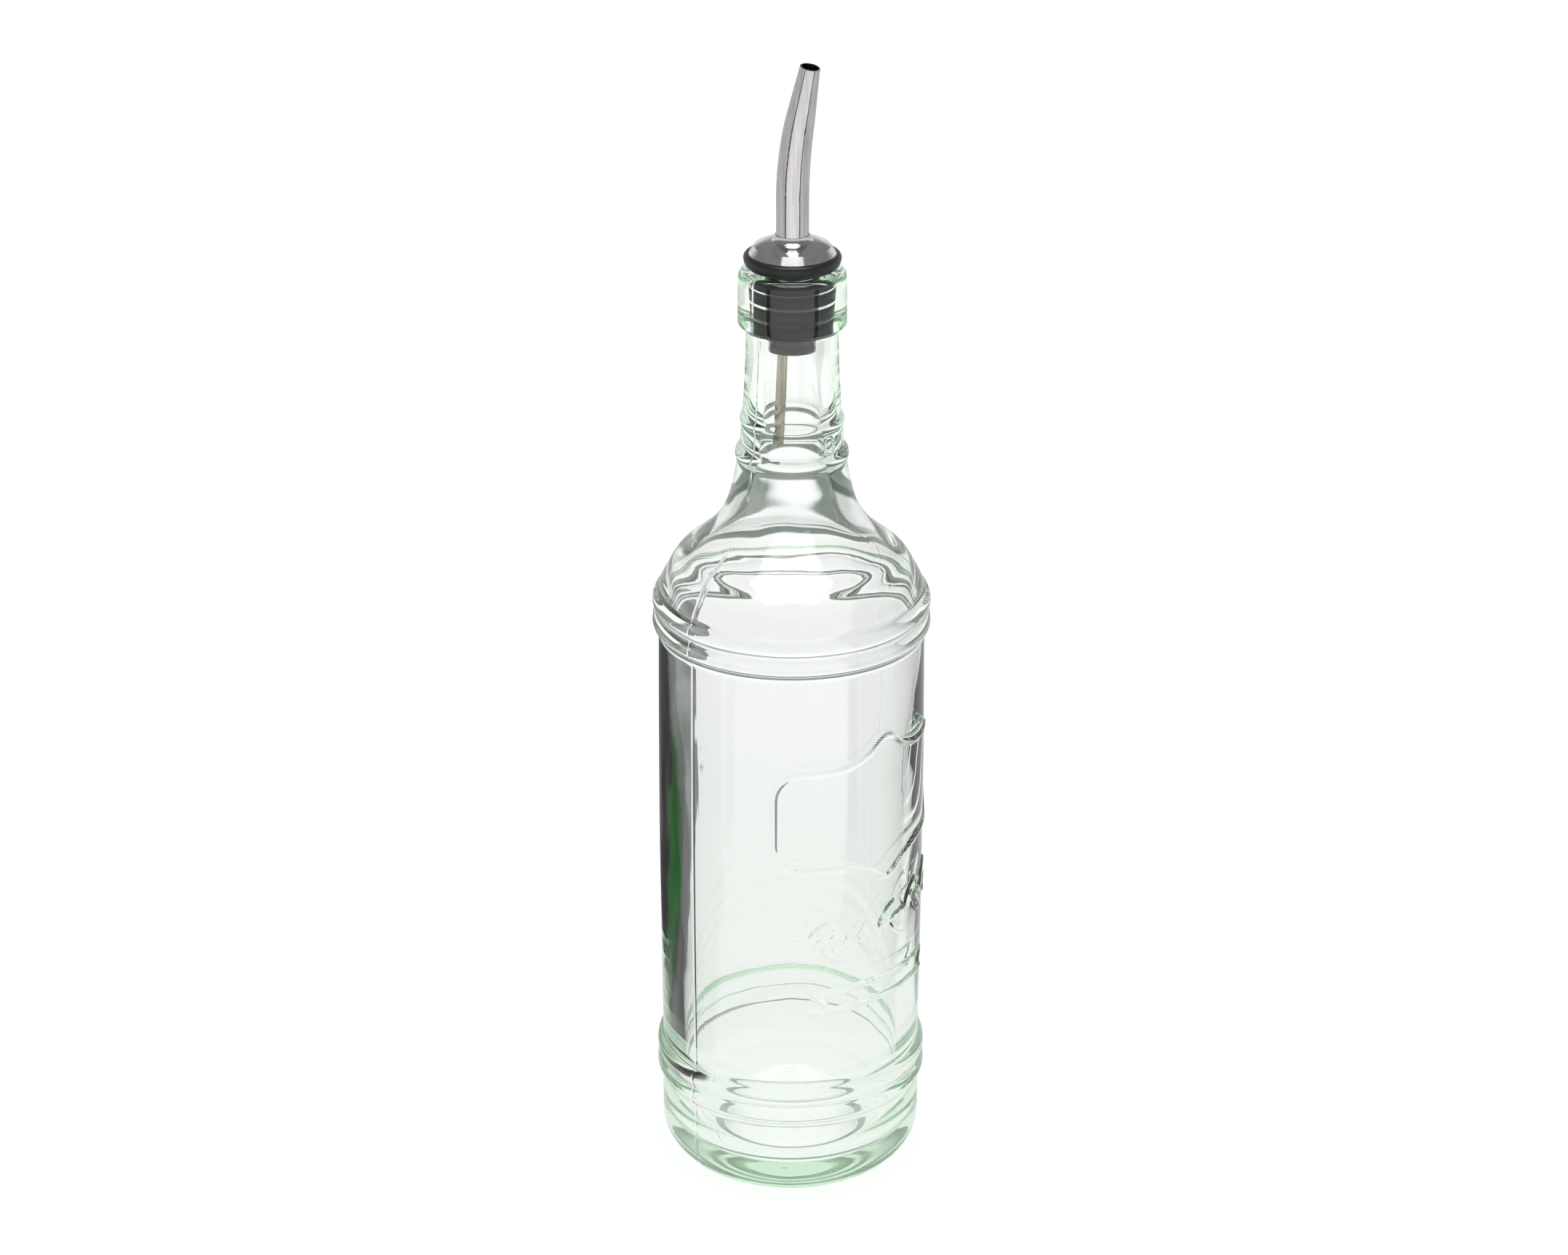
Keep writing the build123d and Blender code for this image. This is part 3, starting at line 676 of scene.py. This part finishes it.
def table_with_painted_reflections():
    material, nodes, links = new_material("table_with_painted_reflections")
    calc, product, rest, step, between = stage_maths(nodes, links)
    out = nodes.new("ShaderNodeOutputMaterial")
    paths = nodes.new("ShaderNodeLightPath")
    place = nodes.new("ShaderNodeTexCoord")
    split = nodes.new("ShaderNodeSeparateXYZ")
    links.new(place.outputs["Object"], split.inputs[0])
    across, back = split.outputs["X"], split.outputs["Y"]
    leftward, forward = calc("MULTIPLY", across, -1), calc("MULTIPLY", back, -1)
    length = nodes.new("ShaderNodeVectorMath")
    length.operation = "LENGTH"
    links.new(place.outputs["Object"], length.inputs[0])
    away = length.outputs["Value"]
    camera_ray = paths.outputs["Is Camera Ray"]
    glossy_ray = paths.outputs["Is Glossy Ray"]
    inside = calc("GREATER_THAN", paths.outputs["Transmission Depth"], 0.5)
    bounced = product(calc("GREATER_THAN", paths.outputs["Glossy Depth"], 0.5), inside)

    # the table itself: matt white, lit by the lamp, with a glow that evens it out
    matt = nodes.new("ShaderNodeBsdfDiffuse")
    matt.inputs["Color"].default_value = (0.80, 0.80, 0.80, 1)
    glow = nodes.new("ShaderNodeEmission")
    glow.inputs["Color"].default_value = NEUTRAL
    near_glow = calc("MULTIPLY_ADD", camera_ray, 0.16, 0.22)
    even = calc("MULTIPLY_ADD", step(away, 0.1, 1.0), 0.32, near_glow)
    seen = calc("MAXIMUM", calc("MAXIMUM", camera_ray, glossy_ray), paths.outputs["Is Transmission Ray"])
    links.new(product(seen, even), glow.inputs["Strength"])
    white = nodes.new("ShaderNodeAddShader")
    links.new(matt.outputs["BSDF"], white.inputs[0])
    links.new(glow.outputs["Emission"], white.inputs[1])

    def painted_patch(under, where, colour, level):
        """Paints an evenly glowing patch on the table where the mask says: a painted reflection or painted
        shade.
        """
        tone = nodes.new("ShaderNodeEmission")
        tone.inputs["Color"].default_value = colour
        if isinstance(level, float):
            tone.inputs["Strength"].default_value = level
        else:
            links.new(level, tone.inputs["Strength"])
        mix = nodes.new("ShaderNodeMixShader")
        links.new(where, mix.inputs["Fac"])
        links.new(under, mix.inputs[1])
        links.new(tone.outputs[0], mix.inputs[2])
        return mix.outputs[0]

    # a painted dim ring far out, painted shade that only the glass sees
    shader = painted_patch(white.outputs[0], product(step(away, 1.05, 1.4), inside, 0.86), FAR_GREEN, FAR_LEVEL)

    # a grey patch painted at the back left, hidden from the camera, with a slanting ragged edge and an
    # uneven tone: painted shade that the glass shows as its dark left edge
    depth = between(back, 0.055, 0.50, 0.012)
    edge = calc("MULTIPLY_ADD", calc("MINIMUM", back, 0.24), 0.27, -0.124)
    past_edge = calc("SUBTRACT", edge, across)
    painted_patch_end = rest(step(past_edge, 0.26, 0.34))
    unseen = rest(camera_ray)
    cloud = noise(nodes, links, place.outputs["Object"], 9)
    ragged = calc("MULTIPLY_ADD", cloud, 0.02, past_edge)
    grey = product(step(ragged, 0.009, 0.013), depth, unseen, 0.94, painted_patch_end)
    tone = calc("MULTIPLY_ADD", step(cloud, 0.40, 0.62), GREY_RANGE, GREY_LOW)
    shader = painted_patch(shader, grey, PAINTED_GREY, tone)

    # its far part is painted black, more painted shade for the glass
    past_black = product(step(past_edge, 0.085, 0.11), depth, unseen, painted_patch_end)
    shader = painted_patch(shader, product(past_black, step(back, 0.20, 0.25), 0.7), WARM_BLACK, BLACK_LEVEL)

    # a dim patch painted at the back right, painted shade that only the glass sees
    dim_right = product(step(across, 0.215, 0.235), depth, inside, 0.25)
    shader = painted_patch(shader, dim_right, RIGHT_GREEN, RIGHT_LEVEL)

    # painted shade for light that bounces inside the glass wall: the left is painted black, and deep green
    # near the bottle
    left_angle = calc("ARCTAN2", calc("MULTIPLY", calc("ADD", across, -BLACK_X), -1), back)
    angle = product(left_angle, 180 / pi)
    black = product(between(angle, BLACK_FROM, BLACK_TO, 4), bounced, between(away, 0.09, 0.55, 0.02))
    shader = painted_patch(shader, black, NEUTRAL, PAINTED_DARK_LEVEL)
    green = product(
        calc("MAXIMUM", past_black, black), between(back, 0.085, 0.185, 0.015), bounced,
        step(leftward, 0.08, 0.10))
    shader = painted_patch(shader, green, DEEP_GREEN, GREEN_LEVEL)

    # painted light under the bottle, where its shadow falls, seen only through the glass as clean white
    shader = painted_patch(shader, product(rest(step(away, 0.045, 0.10)), inside, 0.5), PAINTED_FOOT_LIGHT, PAINTED_FOOT_LEVEL)

    # painted reflection for the steel, seen only by glossy rays outside the glass: a bright middle, two
    # painted black stripes, grey beyond them
    mirror = product(glossy_ray, rest(inside), step(away, 0.25, 0.35))
    aside = calc("ABSOLUTE", product(calc("ARCTAN2", across, forward), 180 / pi))
    shader = painted_patch(shader, product(mirror, step(aside, 56, 62), 0.5), NEUTRAL, BEYOND_LEVEL)
    shader = painted_patch(shader, product(mirror, between(aside, 47, 56, 1.5)), NEUTRAL, PAINTED_DARK_LEVEL)
    links.new(shader, out.inputs["Surface"])
    return material


wear(floor, table_with_painted_reflections())

ROOM_LEVEL = 0.6
# strengths of the soft boxes painted into the world, seen only in reflections and through the glass
PAINTED_BOX_LEVEL = 0.8
PAINTED_OVERHEAD_LEVEL = 1.5


def studio_world_with_painted_reflections():
    world = bpy.data.worlds.new("studio")
    world.use_nodes = True
    bpy.context.scene.world = world
    nodes, links = world.node_tree.nodes, world.node_tree.links
    nodes.clear()
    calc, product, rest, step, between = stage_maths(nodes, links)
    out = nodes.new("ShaderNodeOutputWorld")
    place = nodes.new("ShaderNodeTexCoord")
    split = nodes.new("ShaderNodeSeparateXYZ")
    links.new(place.outputs["Generated"], split.inputs[0])
    back, up = split.outputs["Y"], split.outputs["Z"]
    forward, aside = calc("MULTIPLY", back, -1), calc("ABSOLUTE", split.outputs["X"])
    paths = nodes.new("ShaderNodeLightPath")
    inside = calc("GREATER_THAN", paths.outputs["Transmission Depth"], 0.5)

    # painted reflection for the steel and the glass's outside: in their reflections only, the walls are
    # painted pale at their foot and darker above, with a painted soft box overhead in front that lights
    # nothing
    room = calc("MULTIPLY_ADD", step(up, 0.08, 0.40), -0.72, 1.0)
    overhead = product(
        between(up, 0.74, 0.95, 0.02), rest(step(aside, 0.36, 0.46)),
        step(forward, 0.1, 0.25), PAINTED_OVERHEAD_LEVEL)
    room = calc("MAXIMUM", room, overhead)

    # painted shade and painted light seen only through the glass: the foot of the walls is a painted
    # dark line, with paler painted walls above it, palest at the back, and a painted soft box over the
    # front
    above = step(up, 0.06, 0.13)
    behind = product(step(back, 0.15, 0.4), rest(step(aside, 0.35, 0.6)))
    through = calc("MULTIPLY_ADD", above, calc("MULTIPLY_ADD", behind, 0.25, 0.52), 0.10)
    box = product(
        step(forward, 0.12, 0.3), rest(step(aside, 0.28, 0.42)),
        step(up, 0.10, 0.16), rest(step(up, 0.93, 0.97)))
    through = calc("MAXIMUM", through, product(box, PAINTED_BOX_LEVEL))

    level = calc("MULTIPLY_ADD", inside, calc("SUBTRACT", through, room), room)
    shiny = calc("MAXIMUM", paths.outputs["Is Glossy Ray"], paths.outputs["Is Transmission Ray"])
    level = calc("MULTIPLY_ADD", shiny, calc("SUBTRACT", level, ROOM_LEVEL), ROOM_LEVEL)
    level = calc("MULTIPLY_ADD", paths.outputs["Is Camera Ray"], rest(level), level)
    sky = nodes.new("ShaderNodeBackground")
    # the painted dark line is tinted greenish, standing in for the full width of green glass it is seen
    # through
    tinge = calc("MULTIPLY_ADD", product(inside, rest(above)), -0.38, 1.0)
    colour = nodes.new("ShaderNodeCombineXYZ")
    links.new(tinge, colour.inputs[0])
    colour.inputs[1].default_value = 1
    links.new(tinge, colour.inputs[2])
    links.new(colour.outputs[0], sky.inputs["Color"])
    links.new(level, sky.inputs["Strength"])
    links.new(sky.outputs[0], out.inputs["Surface"])


studio_world_with_painted_reflections()

LAMP_WIDTH, LAMP_DEPTH, LAMP_RADIANCE = 0.8, 0.6, 3.4
bpy.ops.object.light_add(type="AREA", location=(0.0, -0.25, 1.15))
top_lamp = bpy.context.object
top_lamp.name = "top_lamp"
top_lamp.data.shape = "RECTANGLE"
top_lamp.data.size = LAMP_WIDTH
top_lamp.data.size_y = LAMP_DEPTH
top_lamp.data.energy = LAMP_RADIANCE * pi * LAMP_WIDTH * LAMP_DEPTH
top_lamp.rotation_euler = (radians(-12), 0, 0)
bpy.context.scene.cycles.max_bounces = 24
bpy.context.scene.cycles.glossy_bounces = 12
bpy.context.scene.cycles.transmission_bounces = 20
